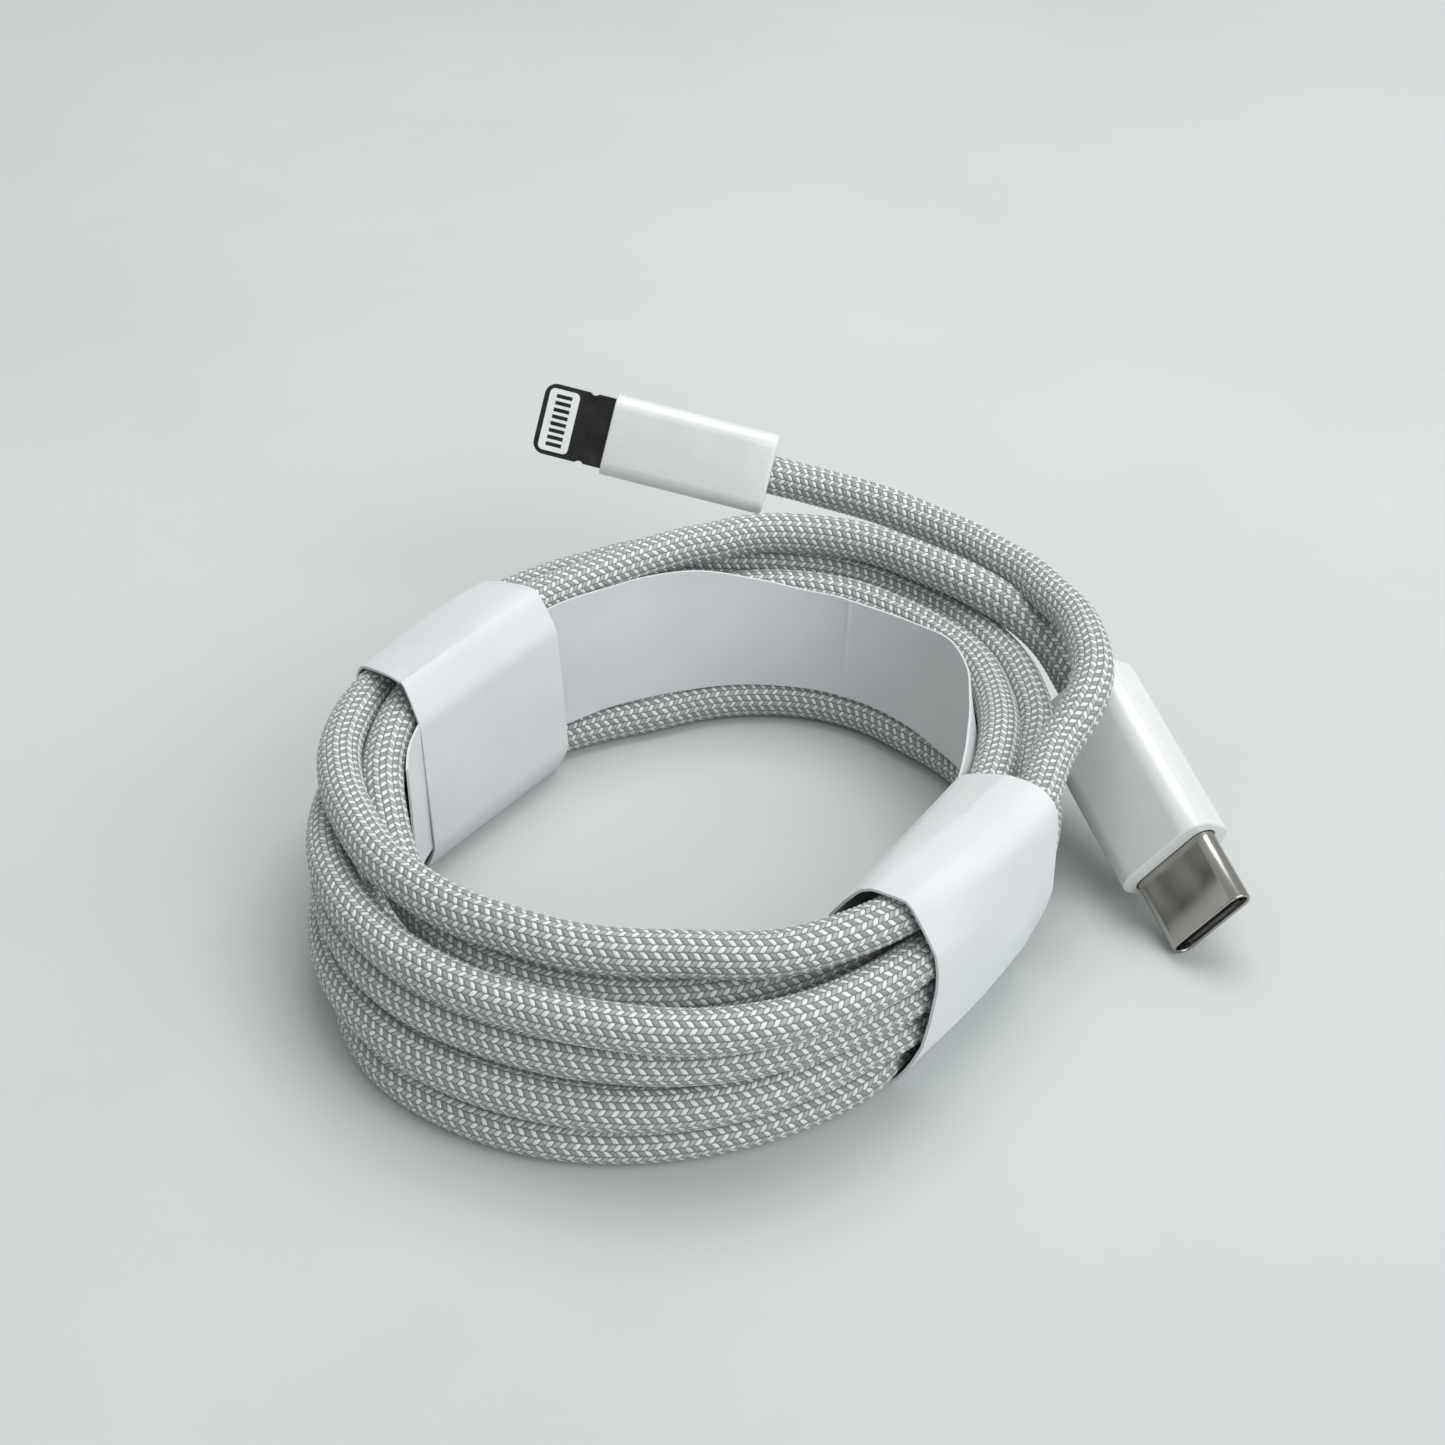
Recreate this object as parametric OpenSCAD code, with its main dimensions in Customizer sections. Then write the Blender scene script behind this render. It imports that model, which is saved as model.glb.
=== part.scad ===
// Braided charging cable, coiled and held by a folded paper carrier.
// A flat tab plug with eight contacts a side is on one end and a reversible
// oval plug on the other. The cable stands on the plane Z = 0.

/* [Cable] */
// Diameter of the braided cable
cable_d = 3.6; // [3.2:0.1:3.7]
// Long half width of the coil, at the middle of the outer turns
coil_a = 31.2; // [30:0.1:32]
// Short half width of the coil, at the middle of the outer turns
coil_b = 27.3; // [26:0.1:28]
// Direction of the coil's long axis, in degrees from +X
coil_turn = 46; // [40:1:52]
// Height of the turns where the two loose tails leave them
coil_low_h = 14.2; // [13:0.1:14.3]
// Full height of the coiled turns
coil_h = 17.8; // [17:0.1:18]

/* [Paper carrier] */
// Thickness of the folded paper
paper_t = 0.3; // [0.2:0.05:0.4]
// Gap between the paper and the turns
paper_gap = 0.15; // [0.1:0.05:0.3]
// Lowest height of the strip inside the coil
liner_low = 3.2; // [2:0.1:4]
// Top of the strip inside the coil
liner_top = 15.6; // [14:0.1:16]

/* [Tab plug] */
// Width of the metal tab
tab_w = 6.7; // [6.6:0.05:6.8]
// Thickness of the metal tab
tab_t = 1.5; // [1.45:0.05:1.55]
// Length of tab that stands out of the boot
tab_len = 6.7; // [6.4:0.1:7]
// Distance between neighbouring tab contacts
tab_pitch = 0.65; // [0.6:0.01:0.68]
// Length of the tab plug's boot
tab_boot_len = 15.7; // [15:0.1:17]
// Width of the tab plug's boot
tab_boot_w = 7.7; // [7.6:0.1:8.2]
// Thickness of the tab plug's boot
tab_boot_t = 4.6; // [4.5:0.1:5]

/* [Oval plug] */
// Width of the oval metal shell
shell_w = 8.25; // [8.2:0.01:8.3]
// Thickness of the oval metal shell
shell_t = 2.4; // [2.36:0.01:2.44]
// Length of shell that stands out of the boot
shell_len = 6.65; // [6.5:0.05:6.8]
// Distance between neighbouring oval plug contacts
oval_pitch = 0.5; // [0.48:0.01:0.5]
// Length of the oval plug's boot
oval_boot_len = 18.2; // [17.5:0.1:19]
// Width of the oval plug's boot
oval_boot_w = 9.8; // [9.7:0.1:10.4]
// Thickness of the oval plug's boot
oval_boot_t = 6.0; // [5.8:0.1:6.4]

/* [Hidden] */
$fn = 48;

fit_gap = 0.02;      // between pieces that are assembled snugly
cut = 0.1;           // how far a cutting solid runs past a face
cable_r = cable_d / 2;
bore_r = cable_r + 0.03;
crimp_r = bore_r + 0.17;
wire_r = 0.28;

// Middle of the coil on the floor, measured from the origin. The origin is the
// middle of the underside of the plugs and the paper together.
coil_x = -8.461;
coil_y = -10.578;

// The coil: offsets from the oval line through the middle of the outer turns.
outline_step = 4;    // degrees between the corners of an outline
tail_side_deg = 352; // where the tab plug's tail leaves the turns
lead_side_deg = 472; // where the oval plug's tail joins them, a turn and 112 degrees on
left_wrap = [124, 164];
right_wrap = [301, 342];
liner_span = [-18, 124];
ledge_span = [48, 115]; // where one turn swings out behind the others
ledge_z = 11;
step_gap = 0.1;      // keeps stacked outlines from sharing a face

// Oval plug: where its mouth is and how it lies.
oval_tip = [43.1, -6.3, 3.45];
oval_heading = 112;
oval_climb = 19;
oval_roll = -56;

// Tab plug: where its tip is and how it lies.
tab_tip = [-14.4, 44.2, 23.7];
tab_heading = -6.8;
tab_climb = -12.5;
tab_roll = 63;

// Inside the tab plug, measured from the tip.
tab_frame_end = 9.7;
tab_board_end = 15.5;
tab_shield_span = [9.9, 16.4];
tab_mould_span = [16.5, 19];
tab_cable_in = 19.2;
tab_crimp_span = [19.4, 21.4];
tab_shank_w = 5.7;
tab_window = [0.45, 3.35];
tab_window_w = 5.9;

// Inside the oval plug, measured from the mouth.
shell_wall = 0.3;
shell_end = 11;
oval_block_span = [5.9, 10.4];
oval_board_span = [10.6, 19];
oval_board_t = 0.72;
oval_wire_z = oval_board_t / 2 + wire_r;
oval_can_span = [11.1, 19.2];
oval_mould_span = [19.4, 21.6];
oval_cable_in = 21.8;
oval_crimp_span = [21.9, 23.9];
latch_root = 10.2;

boot_wall = 0.5;
boot_back_wall = 0.8;
collar_len = 2.6;

// Route of the tail that runs to the tab plug, from the turns to the boot.
tail_route = [
    concat(polar(turn_r(tail_side_deg - 1) + 0.3, tail_side_deg - 1), [16.0]),
    [29.9, 0.4, 16.4],
    [31.9, 3.6, 17.3],
    [33.8, 8.6, 18.2],
    [33.9, 13.5, 18.4],
    [33.3, 17.8, 18.2],
    [31.9, 21.5, 17.9],
    [30.4, 25.2, 17.6],
    [28.1, 28.5, 17.4],
    [26.0, 31.2, 17.3],
    [23.6, 33.4, 17.4],
    [21.4, 35.2, 17.5],
    [19.1, 36.6, 17.8],
    [16.9, 38.0, 17.9],
    [14.9, 39.2, 17.9],
    [12.6, 40.4, 18.0]
];

// Route of the tail that runs from the oval plug to the turns.
lead_route = [
    [32.0, 20.2, 13.7],
    [29.8, 22.5, 15.0],
    [26.9, 24.9, 15.9],
    [23.9, 27.2, 16.4],
    [21.1, 29.6, 16.4],
    [18.7, 31.7, 16.3],
    [16.1, 33.3, 16.3],
    [13.6, 34.3, 16.3],
    [11.1, 34.9, 16.3],
    [8.1, 35.2, 16.3],
    [5.7, 35.0, 16.3],
    [3.6, 34.4, 16.3],
    [1.7, 33.5, 16.3],
    [-0.4, 32.6, 16.4],
    [-4.9, 29.8, 16.5]
];

// ---------------------------------------------------------------- the coil

// Distance from the coil's middle to the middle of its outer turns.
function turn_r(deg) = coil_a * coil_b / sqrt(
    pow(coil_b * cos(deg - coil_turn), 2) + pow(coil_a * sin(deg - coil_turn), 2)
);

// How far a bulge at the back reaches outward.
function bulge(deg, reach) = reach * pow(max(0, cos(deg - 78)), 3);
function outer_r(deg, reach = 3.2) = turn_r(deg) + cable_r + bulge(deg, reach);

// The upper turns reach further inward at the front, where two lie side by side.
function inner_r(deg) = turn_r(deg) - 4.6 - 2.6 * cos(deg - 240);
function low_inner_r(deg) = turn_r(deg) - cable_r - 0.2;

function polar(r, deg) = [r * cos(deg), r * sin(deg)];

function angles(span) = [
    for (i = [0 : ceil((span[1] - span[0]) / outline_step)])
        min(span[0] + i * outline_step, span[1])
];

module on_floor() {
    translate([coil_x, coil_y, 0])
        children();
}

// A piece of the ring between two angles, from the inner outline grown inward
// by grow_in to the outer outline grown outward by grow_out.
module ring_piece(span, z, grow_in = 0, grow_out = 0) {
    there = [for (d = angles(span)) polar(outer_r(d) + grow_out, d)];
    n = len(angles(span));
    back = [for (i = [n - 1 : -1 : 0]) polar(inner_r(angles(span)[i]) - grow_in, angles(span)[i])];
    translate([0, 0, z[0]])
        linear_extrude(z[1] - z[0])
            polygon(concat(there, back));
}

module whole_ring(z) {
    full = [for (d = [outline_step / 2 : outline_step : 359]) d];
    translate([0, 0, z[0]])
        linear_extrude(z[1] - z[0])
            difference() {
                polygon([for (d = full) polar(outer_r(d), d)]);
                polygon([for (d = full) polar(low_inner_r(d), d)]);
            }
}

// A wedge that takes in everything between two angles.
module sector(span, z) {
    far = 60;
    translate([0, 0, z[0]])
        linear_extrude(z[1] - z[0])
            polygon(concat([[0, 0]], [for (d = angles(span)) polar(far, d)]));
}

// The turn that swings out behind the others at the back.
module ledge() {
    there = [for (d = angles(ledge_span)) polar(outer_r(d, 6.8), d)];
    back = [for (d = angles(ledge_span)) polar(turn_r(d), d)];
    translate([0, 0, ledge_z])
        linear_extrude(coil_low_h - step_gap - ledge_z)
            polygon(concat(there, [for (i = [len(back) - 1 : -1 : 0]) back[i]]));
}

// The turns sag to the floor between the two bands of paper, and lie on the
// paper inside them.
module cable_coil() {
    lift = paper_t + paper_gap;
    color("gainsboro")
        on_floor()
            difference() {
                union() {
                    whole_ring([0, coil_low_h]);
                    ledge();
                    ring_piece(
                        [lead_side_deg - 360, tail_side_deg],
                        [coil_low_h - cable_r, coil_h],
                        0,
                        -step_gap
                    );
                }
                for (span = [left_wrap, right_wrap])
                    sector(span + [-1.5, 1.5], [-cut, lift]);
            }
}

// ------------------------------------------------------------ swept tails

function unit(v) = v / norm(v);

function tangent(route, i) = unit(
    route[min(i + 1, len(route) - 1)] - route[max(i - 1, 0)]
);

function ring_of(route, i, r, sides) =
    let (t = tangent(route, i))
    let (side = unit(cross(t, [0, 0, 1])))
    let (up = cross(side, t))
    [for (k = [0 : sides - 1])
        route[i] + r * (cos(k * 360 / sides) * side + sin(k * 360 / sides) * up)];

// A tube through the route's points, one ring of corners at each.
module swept_tube(route, r, sides = 8) {
    rings = len(route);
    corners = [for (i = [0 : rings - 1]) each ring_of(route, i, r, sides)];
    walls = [
        for (i = [0 : rings - 2], k = [0 : sides - 1])
            let (a = i * sides + k, b = i * sides + (k + 1) % sides)
            each [[a, b, b + sides], [a, b + sides, a + sides]]
    ];
    first = [for (k = [sides - 1 : -1 : 0]) k];
    last = [for (k = [0 : sides - 1]) (rings - 1) * sides + k];
    polyhedron(points = corners, faces = concat([first], walls, [last]));
}

// Direction that a plug's local +X axis, from its tip to its cable, points in.
function plug_dir(heading, climb) = [
    cos(heading) * cos(climb),
    sin(heading) * cos(climb),
    sin(climb)
];

function along(tip, heading, climb, x) = tip + x * plug_dir(heading, climb);

tab_back = tab_len + tab_boot_len;
oval_back = shell_len + oval_boot_len;

function tab_point(x) = along(tab_tip, tab_heading, tab_climb, x);
function oval_point(x) = along(oval_tip, oval_heading, oval_climb, x);

module cable_tail_tab() {
    color("gainsboro")
        on_floor()
            swept_tube(
                concat(tail_route, [for (x = [tab_back + 2, tab_back, tab_cable_in]) tab_point(x)]),
                cable_r
            );
}

lead_end = concat(polar(turn_r(lead_side_deg), lead_side_deg), [16.5]);

module cable_tail_oval() {
    color("gainsboro")
        on_floor()
            swept_tube(
                concat(
                    [for (x = [oval_cable_in, oval_back, oval_back + 2.5]) oval_point(x)],
                    lead_route,
                    [lead_end]
                ),
                cable_r
            );
}

// ----------------------------------------------------------- paper carrier

wrap_out = paper_gap + paper_t;

// A band of paper right round the turns.
module wrap(span) {
    difference() {
        ring_piece(span, [0, coil_h + wrap_out], wrap_out, wrap_out);
        ring_piece([span[0] - 1, span[1] + 1], [paper_t, coil_h + paper_gap], paper_gap, paper_gap);
    }
}

// The strip that joins the two bands along the inside of the turns.
module liner() {
    difference() {
        ring_piece(liner_span, [liner_low, liner_top], wrap_out, -2);
        ring_piece(liner_span + [-1, 1], [liner_low - cut, liner_top + cut], paper_gap, 0);
    }
}

module paper_carrier() {
    color("whitesmoke")
        on_floor()
            union() {
                wrap(left_wrap);
                wrap(right_wrap);
                liner();
            }
}

// ----------------------------------------------------------------- helpers

// A box with round long edges that runs along X from x[0] to x[1].
module round_bar(x, w, t, r) {
    translate([x[0], 0, 0])
        rotate([90, 0, 90])
            linear_extrude(x[1] - x[0])
                rounded(w, t, r);
}

module rounded(w, t, r) {
    square([w - 2 * r, t], center = true);
    square([w, t - 2 * r], center = true);
    for (sx = [-1, 1], sy = [-1, 1])
        translate([sx * (w / 2 - r), sy * (t / 2 - r)])
            circle(r);
}

module stadium_bar(x, w, t) {
    translate([x[0], 0, 0])
        rotate([90, 0, 90])
            linear_extrude(x[1] - x[0])
                stadium(w, t);
}

module stadium(w, t) {
    square([w - t, t], center = true);
    for (s = [-1, 1])
        translate([s * (w - t) / 2, 0])
            circle(t / 2);
}

module box_between(low, high) {
    translate(low)
        cube(high - low);
}

module rod_x(x, r) {
    translate([x[0], 0, 0])
        rotate([0, 90, 0])
            cylinder(h = x[1] - x[0], r = r);
}

// The four wires side by side, between the circuit board and the cable's end.
module plug_wires(x, z, r) {
    for (i = [0 : 3])
        translate([0, (i - 1.5) * 0.7, z])
            rod_x(x, r);
}

module crimp_ring(x) {
    difference() {
        rod_x(x, crimp_r);
        rod_x(x + [-cut, cut], bore_r);
    }
}

module at_tab_plug() {
    on_floor()
        translate(tab_tip)
            rotate([0, -tab_climb, tab_heading])
                rotate([tab_roll, 0, 0])
                    children();
}

module at_oval_plug() {
    on_floor()
        translate(oval_tip)
            rotate([0, -oval_climb, oval_heading])
                rotate([oval_roll, 0, 0])
                    children();
}

// ---------------------------------------------------------------- tab plug

tab_tip_r = 1.1;     // corner radius of the tab's tip
tab_pocket_w = 5.1;  // room for the circuit board inside the frame
tab_pocket_t = 0.9;
tab_pad = [1.5, 0.36, 0.12];
tab_board_w = 5;
tab_board_t = 0.7;
tab_wire_z = tab_board_t / 2 + wire_r;

function tab_pad_y(i) = (i - 3.5) * tab_pitch;

// The tab, with a narrower shank behind it inside the boot.
module tab_outline() {
    translate([tab_tip_r, -tab_w / 2])
        square([tab_len - tab_tip_r, tab_w]);
    translate([0, tab_tip_r - tab_w / 2])
        square([tab_len, tab_w - 2 * tab_tip_r]);
    translate([tab_len - cut, -tab_shank_w / 2])
        square([tab_frame_end - tab_len + cut, tab_shank_w]);
    for (s = [-1, 1])
        translate([tab_tip_r, s * (tab_w / 2 - tab_tip_r)])
            circle(tab_tip_r);
}

module window_outline(gap) {
    translate([(tab_window[0] + tab_window[1]) / 2, 0])
        rounded(tab_window[1] - tab_window[0] - 2 * gap, tab_window_w - 2 * gap, 0.5);
}

module tab_plug_frame() {
    color("dimgray")
        at_tab_plug()
            difference() {
                translate([0, 0, -tab_t / 2])
                    linear_extrude(tab_t)
                        tab_outline();
                translate([0, 0, -tab_t])
                    linear_extrude(2 * tab_t)
                        window_outline(0);
                box_between(
                    [tab_window[1] - cut, -tab_pocket_w / 2, -tab_pocket_t / 2],
                    [tab_frame_end + cut, tab_pocket_w / 2, tab_pocket_t / 2]
                );
                // Round notches that the socket's side springs click into.
                for (s = [-1, 1])
                    translate([4.6, s * (tab_w / 2 + 0.3), 0])
                        cylinder(h = 2 * tab_t, r = 0.5, center = true);
            }
}

module tab_pads(z_up) {
    for (i = [0 : 7], s = [-1, 1])
        translate([1.15, tab_pad_y(i) - tab_pad.y / 2, s > 0 ? tab_t / 2 - tab_pad.z : -tab_t / 2 - z_up])
            cube([tab_pad.x, tab_pad.y, tab_pad.z + z_up]);
}

module tab_plug_insert() {
    color("white")
        at_tab_plug()
            difference() {
                translate([0, 0, -tab_t / 2])
                    linear_extrude(tab_t)
                        window_outline(fit_gap);
                tab_pads(cut);
            }
}

module tab_plug_contacts() {
    color("goldenrod")
        at_tab_plug()
            tab_pads(0);
}

module tab_plug_circuit_board() {
    color("darkgreen")
        at_tab_plug()
            box_between(
                [tab_window[1] + 0.1, -tab_board_w / 2, -tab_board_t / 2],
                [tab_board_end, tab_board_w / 2, tab_board_t / 2]
            );
}

module tab_plug_chips() {
    color("black")
        at_tab_plug() {
            box_between([10.4, -1.2, tab_board_t / 2], [12.8, 1.2, 1.0]);
            for (y = [-1.6, 1.0])
                box_between([10.8, y, -0.8], [11.6, y + 0.6, -tab_board_t / 2]);
        }
}

module tab_plug_shield() {
    color("silver")
        at_tab_plug()
            difference() {
                round_bar(tab_shield_span, 6.2, 3.2, 0.6);
                round_bar(tab_shield_span + [-cut, cut], 5.8, 2.8, 0.4);
            }
}

module tab_plug_front_collar() {
    color("white")
        at_tab_plug()
            difference() {
                round_bar(
                    [tab_len + 0.05, tab_len + collar_len],
                    tab_boot_w - 2 * boot_wall - 2 * fit_gap,
                    tab_boot_t - 2 * boot_wall - 2 * fit_gap,
                    1.0
                );
                box_between(
                    [tab_len - cut, -tab_shank_w / 2 - fit_gap, -tab_t / 2 - fit_gap],
                    [tab_len + collar_len + cut, tab_shank_w / 2 + fit_gap, tab_t / 2 + fit_gap]
                );
            }
}

module tab_plug_inner_mould() {
    color("lightgray")
        at_tab_plug()
            difference() {
                round_bar(
                    tab_mould_span,
                    tab_boot_w - 2 * boot_wall - 0.1,
                    tab_boot_t - 2 * boot_wall - 0.1,
                    1.0
                );
                plug_wires(tab_mould_span + [-cut, cut], tab_wire_z, wire_r + fit_gap);
            }
}

module tab_plug_crimp_ring() {
    color("silver")
        at_tab_plug()
            crimp_ring(tab_crimp_span);
}

module tab_plug_wires() {
    color("firebrick")
        at_tab_plug()
            plug_wires([14.2, tab_cable_in], tab_wire_z, wire_r);
}

module tab_plug_boot() {
    color("white")
        at_tab_plug()
            difference() {
                round_bar([tab_len, tab_back], tab_boot_w, tab_boot_t, 1.4);
                round_bar(
                    [tab_len - cut, tab_back - boot_back_wall],
                    tab_boot_w - 2 * boot_wall,
                    tab_boot_t - 2 * boot_wall,
                    1.0
                );
                rod_x([tab_crimp_span[0] - cut, tab_crimp_span[1] + cut], crimp_r + fit_gap);
                rod_x([tab_crimp_span[0], tab_back + cut], bore_r);
            }
}

// --------------------------------------------------------------- oval plug

jaw_in = oval_board_t / 2;  // half the slot for the socket's tongue
jaw_out = 0.84;
jaw_w = 5.8;
contact_t = 0.14;
contact_w = 0.22;
shell_flat_z = shell_t / 2 - shell_wall;

function oval_contact_y(i) = (i - 5.5) * oval_pitch;

module oval_plug_shell() {
    color("silver")
        at_oval_plug()
            difference() {
                stadium_bar([0, shell_end], shell_w, shell_t);
                stadium_bar([-cut, shell_end + cut], shell_w - 2 * shell_wall, shell_t - 2 * shell_wall);
            }
}

// Twelve flat springs side by side, on the upper side of the board.
module contact_row(gap) {
    for (i = [0 : 11])
        translate([0.9 - gap, oval_contact_y(i) - contact_w / 2 - gap, jaw_in - gap])
            cube([11.1 + 2 * gap, contact_w + 2 * gap, contact_t + 2 * gap]);
}

module oval_plug_insulator() {
    color("black")
        at_oval_plug()
            difference() {
                union() {
                    for (s = [0, 1])
                        mirror([0, 0, s])
                            box_between([0.4, -jaw_w / 2, jaw_in], [oval_block_span[1], jaw_w / 2, jaw_out]);
                    box_between(
                        [oval_block_span[0], -jaw_w / 2, -jaw_in - cut],
                        [oval_block_span[1], jaw_w / 2, jaw_in + cut]
                    );
                }
                for (s = [0, 1])
                    mirror([0, 0, s]) {
                        contact_row(fit_gap);
                        // Seat of the ground spring on the outside of each jaw.
                        box_between([0.3, -2.5, jaw_out - 0.16], [3.2, 2.5, jaw_out + cut]);
                    }
                // Seat of the mid plate.
                box_between([6.1, -2.45, -0.1], [oval_block_span[1] + cut, 2.45, 0.1]);
            }
}

module oval_plug_upper_contacts() {
    color("goldenrod")
        at_oval_plug()
            contact_row(0);
}

module oval_plug_lower_contacts() {
    color("goldenrod")
        at_oval_plug()
            mirror([0, 0, 1])
                contact_row(0);
}

// A side spring with a hook that catches the socket's tongue. It flexes about
// its fixed end.
module latch() {
    box_between([1.0, 2.95, -0.3], [latch_root, 3.2, 0.3]);
    box_between([1.0, 2.6, -0.3], [1.7, 3.0, 0.3]);
}

module oval_plug_left_latch() {
    color("silver")
        at_oval_plug()
            latch();
}

module oval_plug_right_latch() {
    color("silver")
        at_oval_plug()
            mirror([0, 1, 0])
                latch();
}

module ground_spring() {
    box_between([0.4, -2.4, jaw_out - 0.14], [3.1, 2.4, jaw_out - 0.02]);
}

module oval_plug_upper_ground_spring() {
    color("silver")
        at_oval_plug()
            ground_spring();
}

module oval_plug_lower_ground_spring() {
    color("silver")
        at_oval_plug()
            mirror([0, 0, 1])
                ground_spring();
}

module oval_plug_mid_plate() {
    color("silver")
        at_oval_plug()
            box_between([6.2, -2.4, -0.07], [oval_block_span[1], 2.4, 0.07]);
}

module oval_plug_circuit_board() {
    color("darkgreen")
        at_oval_plug()
            box_between(
                [oval_board_span[0], -3.4, -oval_board_t / 2],
                [oval_board_span[1], 3.4, oval_board_t / 2]
            );
}

module oval_plug_marker_chip() {
    color("black")
        at_oval_plug()
            box_between([13.6, -1.3, oval_board_t / 2], [16.2, 1.3, 1.0]);
}

// Half of the folded can around the board, above the middle plane.
module can_half() {
    difference() {
        box_between([oval_can_span[0], -3.95, 0.02], [oval_can_span[1], 3.95, 1.95]);
        box_between([oval_can_span[0] - cut, -3.75, -cut], [oval_can_span[1] + cut, 3.75, 1.75]);
    }
}

module oval_plug_upper_shield_can() {
    color("silver")
        at_oval_plug()
            can_half();
}

module oval_plug_lower_shield_can() {
    color("silver")
        at_oval_plug()
            mirror([0, 0, 1])
                can_half();
}

module oval_plug_front_collar() {
    color("white")
        at_oval_plug()
            difference() {
                round_bar(
                    [shell_len + 0.05, shell_len + collar_len],
                    oval_boot_w - 2 * boot_wall - 2 * fit_gap,
                    oval_boot_t - 2 * boot_wall - 2 * fit_gap,
                    1.6
                );
                stadium_bar(
                    [shell_len - cut, shell_len + collar_len + cut],
                    shell_w + 2 * fit_gap,
                    shell_t + 2 * fit_gap
                );
            }
}

module oval_plug_inner_mould() {
    color("lightgray")
        at_oval_plug()
            difference() {
                round_bar(
                    oval_mould_span,
                    oval_boot_w - 2 * boot_wall - 0.1,
                    oval_boot_t - 2 * boot_wall - 0.1,
                    1.6
                );
                plug_wires(oval_mould_span + [-cut, cut], oval_wire_z, wire_r + fit_gap);
            }
}

module oval_plug_crimp_ring() {
    color("silver")
        at_oval_plug()
            crimp_ring(oval_crimp_span);
}

module oval_plug_wires() {
    color("firebrick")
        at_oval_plug()
            plug_wires([17.4, oval_cable_in], oval_wire_z, wire_r);
}

module oval_plug_boot() {
    color("white")
        at_oval_plug()
            difference() {
                round_bar([shell_len, oval_back], oval_boot_w, oval_boot_t, 2.2);
                round_bar(
                    [shell_len - cut, oval_back - boot_back_wall],
                    oval_boot_w - 2 * boot_wall,
                    oval_boot_t - 2 * boot_wall,
                    1.6
                );
                rod_x([oval_crimp_span[0], oval_back + cut], bore_r);
            }
}

// ------------------------------------------------------------------- nodes

cable_coil();
cable_tail_tab();
cable_tail_oval();
paper_carrier();
tab_plug_frame();
tab_plug_insert();
tab_plug_contacts();
tab_plug_circuit_board();
tab_plug_chips();
tab_plug_shield();
tab_plug_front_collar();
tab_plug_inner_mould();
tab_plug_crimp_ring();
tab_plug_wires();
tab_plug_boot();
oval_plug_shell();
oval_plug_insulator();
oval_plug_upper_contacts();
oval_plug_lower_contacts();
oval_plug_left_latch();
oval_plug_right_latch();
oval_plug_upper_ground_spring();
oval_plug_lower_ground_spring();
oval_plug_mid_plate();
oval_plug_circuit_board();
oval_plug_marker_chip();
oval_plug_upper_shield_can();
oval_plug_lower_shield_can();
oval_plug_front_collar();
oval_plug_inner_mould();
oval_plug_crimp_ring();
oval_plug_wires();
oval_plug_boot();
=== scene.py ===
import math

import bpy
import numpy as np
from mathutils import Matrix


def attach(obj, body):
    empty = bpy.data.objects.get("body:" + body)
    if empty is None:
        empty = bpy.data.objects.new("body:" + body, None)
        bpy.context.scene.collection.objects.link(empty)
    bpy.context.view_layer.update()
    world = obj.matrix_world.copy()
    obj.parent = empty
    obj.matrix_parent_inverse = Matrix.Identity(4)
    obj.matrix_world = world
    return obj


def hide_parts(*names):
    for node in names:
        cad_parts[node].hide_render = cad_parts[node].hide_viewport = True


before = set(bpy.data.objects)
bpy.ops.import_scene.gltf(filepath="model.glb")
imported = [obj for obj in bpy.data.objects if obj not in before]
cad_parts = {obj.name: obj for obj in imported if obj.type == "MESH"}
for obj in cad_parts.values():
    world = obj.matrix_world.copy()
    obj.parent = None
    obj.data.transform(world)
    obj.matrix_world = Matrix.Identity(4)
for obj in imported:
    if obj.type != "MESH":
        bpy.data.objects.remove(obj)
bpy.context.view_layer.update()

# The object: a braided charging cable, wound in a flat coil, with a paper carrier and two plugs.
# Sizes are written in millimetres in the coil's own axes, and become metres in the row frame.
MM = 0.001
COIL_CENTRE = np.array([-8.461, -10.578, 0.0])
CABLE_R = 1.8

# ------------------------------------------------------------------ camera
CAMERA_AT = (-5.661, -175.978, 135.2)
CAMERA_TILT = 55.0
LENS = 62.3
SENSOR_WIDTH = 36.0
CAMERA_SEES = (0.005, 20.0)

# ------------------------------------------------------------------ the winding
COIL_LONG, COIL_SHORT, COIL_AXIS = 31.2, 27.3, 46.0
TURN_STEP = 4.0
ROUTE_SAMPLES = 9000

# The tab plug's and the oval plug's axes: tip, heading, climb and roll in degrees.
TAB_TIP, TAB_HEADING, TAB_CLIMB, TAB_ROLL = (-14.4, 44.2, 23.7), -6.8, -12.5, 63.0
OVAL_TIP, OVAL_HEADING, OVAL_CLIMB, OVAL_ROLL = (43.1, -6.3, 3.45), 112.0, 19.0, -56.0

# The cable's way from the oval plug up on to the coil.
LEAD = [
    (32.0, 20.2, 13.7), (29.8, 22.5, 15.0), (26.9, 24.9, 15.9), (23.9, 27.2, 16.4), (21.1, 29.6, 16.4),
    (18.7, 31.7, 16.3), (16.1, 33.3, 16.3), (13.6, 34.3, 16.3), (11.1, 34.9, 16.3), (8.1, 35.2, 16.3),
    (5.7, 35.0, 16.3), (3.6, 34.4, 16.3), (1.7, 33.5, 16.3), (-0.4, 32.6, 16.4), (-4.9, 29.8, 16.5)]

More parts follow.
